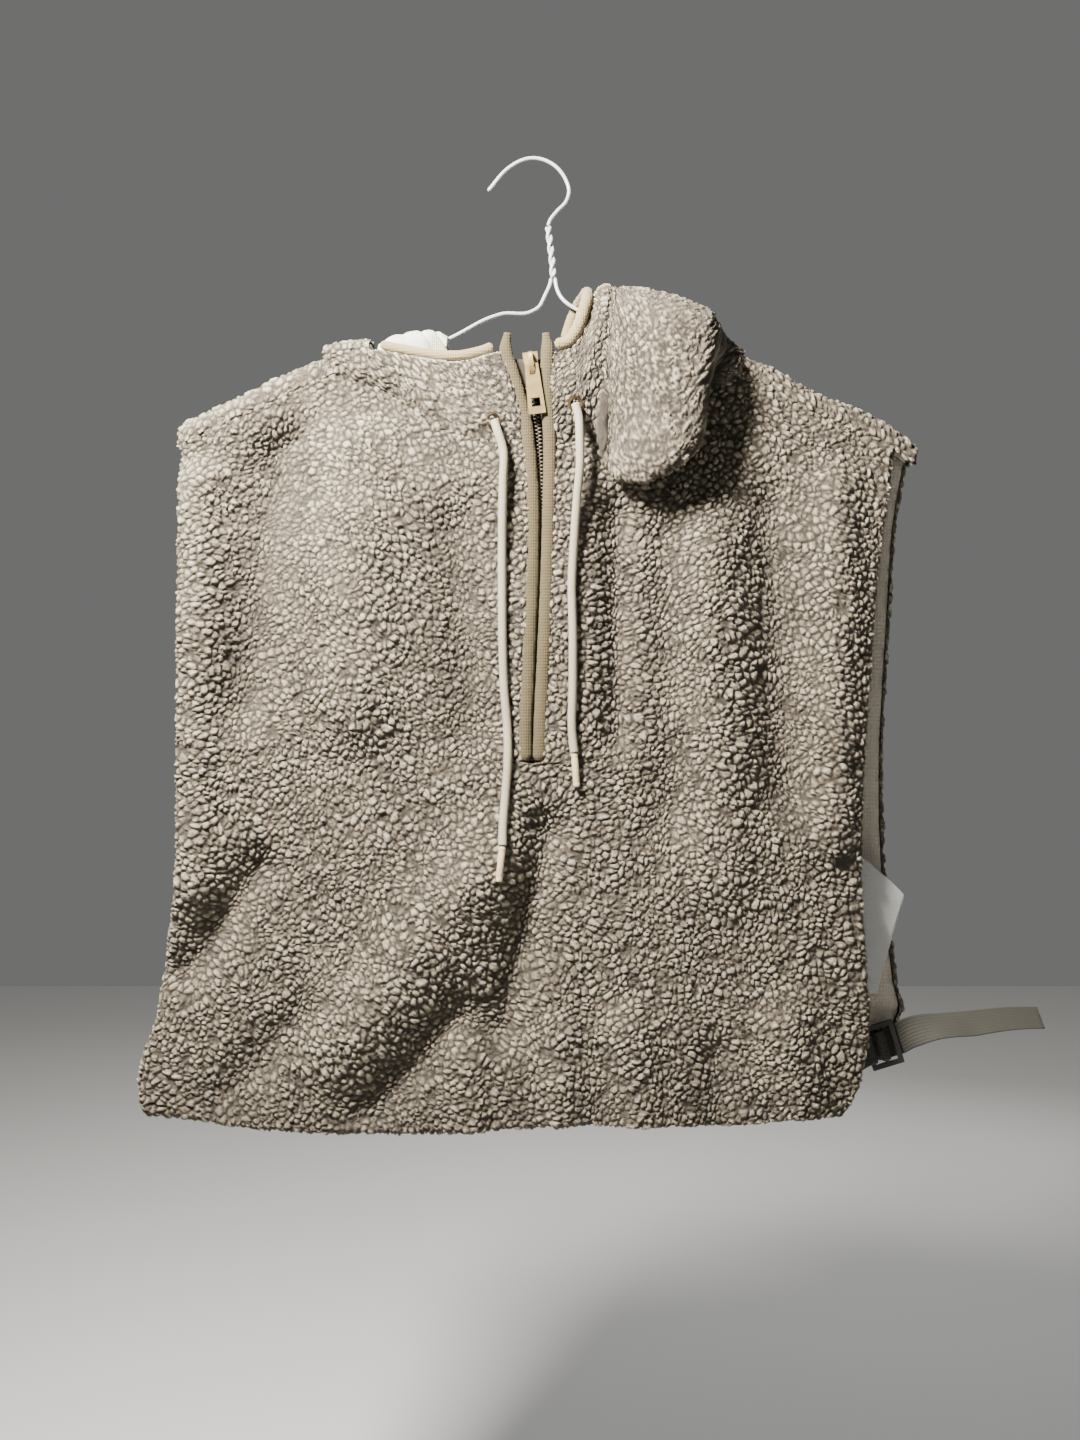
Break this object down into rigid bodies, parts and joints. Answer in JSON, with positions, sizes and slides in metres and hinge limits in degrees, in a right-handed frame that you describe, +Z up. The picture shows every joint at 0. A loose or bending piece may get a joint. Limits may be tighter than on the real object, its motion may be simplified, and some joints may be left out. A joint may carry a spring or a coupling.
{
  "type": "hooded half-zip fleece vest on a wire hanger",
  "caption": "Sleeveless hooded pullover of curly fleece with a half zip, drawcord and buckled side straps, hung flat on a coated wire hanger.",
  "frame": {"origin": "where the inside of the hanger's hook rests on what holds it", "axes": "+X to the right of someone facing the front of the vest, +Y from the front to the back, +Z up"},
  "size_m": [0.5859, 0.0866, 0.6468],
  "materials": {
    "front_panel_look": "curly sherpa pile",
    "back_panel_look": "curly sherpa pile",
    "side_facing_left_look": "plain jersey binding",
    "side_facing_right_look": "plain jersey binding",
    "care_label_look": "smooth knit",
    "hood_left_look": "curly sherpa pile",
    "hood_right_look": "curly sherpa pile",
    "hood_back_look": "curly sherpa pile",
    "hood_lining_look": "smooth knit",
    "hood_edge_left_look": "plain jersey binding",
    "hood_edge_right_look": "plain jersey binding",
    "hood_edge_back_look": "plain jersey binding",
    "zip_binding_left_look": "plain jersey binding",
    "zip_binding_right_look": "plain jersey binding",
    "zip_tape_look": "woven zip tape",
    "zip_slider_look": "satin champagne",
    "zip_pull_look": "satin champagne",
    "eyelet_left_look": "aged bronze",
    "eyelet_right_look": "aged bronze",
    "cord_left_look": "braided cord",
    "cord_right_look": "braided cord",
    "aglet_left_look": "heat-shrunk tip",
    "aglet_right_look": "heat-shrunk tip",
    "buckle_left_look": "moulded, fine grain",
    "buckle_right_look": "moulded, fine grain",
    "strap_loop_left_look": "ribbed webbing",
    "strap_loop_right_look": "ribbed webbing",
    "strap_left_look": "ribbed webbing",
    "strap_right_look": "ribbed webbing",
    "hanger_hook_look": "white plastic-coated wire",
    "hanger_neck_look": "white plastic-coated wire",
    "hanger_arm_left_look": "white plastic-coated wire",
    "hanger_arm_right_look": "white plastic-coated wire",
    "hanger_bar_look": "white plastic-coated wire"
  },
  "bodies": {
    "vest": {"front_panel": "front_panel_look", "back_panel": "back_panel_look", "side_facing_left": "side_facing_left_look", "side_facing_right": "side_facing_right_look", "care_label": "care_label_look", "hood_left": "hood_left_look", "hood_right": "hood_right_look", "hood_back": "hood_back_look", "hood_lining": "hood_lining_look", "hood_edge_left": "hood_edge_left_look", "hood_edge_right": "hood_edge_right_look", "hood_edge_back": "hood_edge_back_look", "zip_binding_left": "zip_binding_left_look", "zip_binding_right": "zip_binding_right_look", "zip_tape": "zip_tape_look", "zip_slider": "zip_slider_look", "eyelet_left": "eyelet_left_look", "eyelet_right": "eyelet_right_look", "cord_left": "cord_left_look", "cord_right": "cord_right_look", "aglet_left": "aglet_left_look", "aglet_right": "aglet_right_look", "buckle_left": "buckle_left_look", "buckle_right": "buckle_right_look", "strap_loop_left": "strap_loop_left_look", "strap_loop_right": "strap_loop_right_look", "strap_left": "strap_left_look", "strap_right": "strap_right_look", "hanger_hook": "hanger_hook_look", "hanger_neck": "hanger_neck_look", "hanger_arm_left": "hanger_arm_left_look", "hanger_arm_right": "hanger_arm_right_look", "hanger_bar": "hanger_bar_look"},
    "pull": {"zip_pull": "zip_pull_look"}
  },
  "joints": [
    {"name": "pull_swing", "type": "hinge", "parent": "vest", "child": "pull", "pos_m": [0.0014, -0.0627, -0.155], "axis": [-0.9925, 0, -0.1219], "range_deg": [0, 130]}
  ]
}
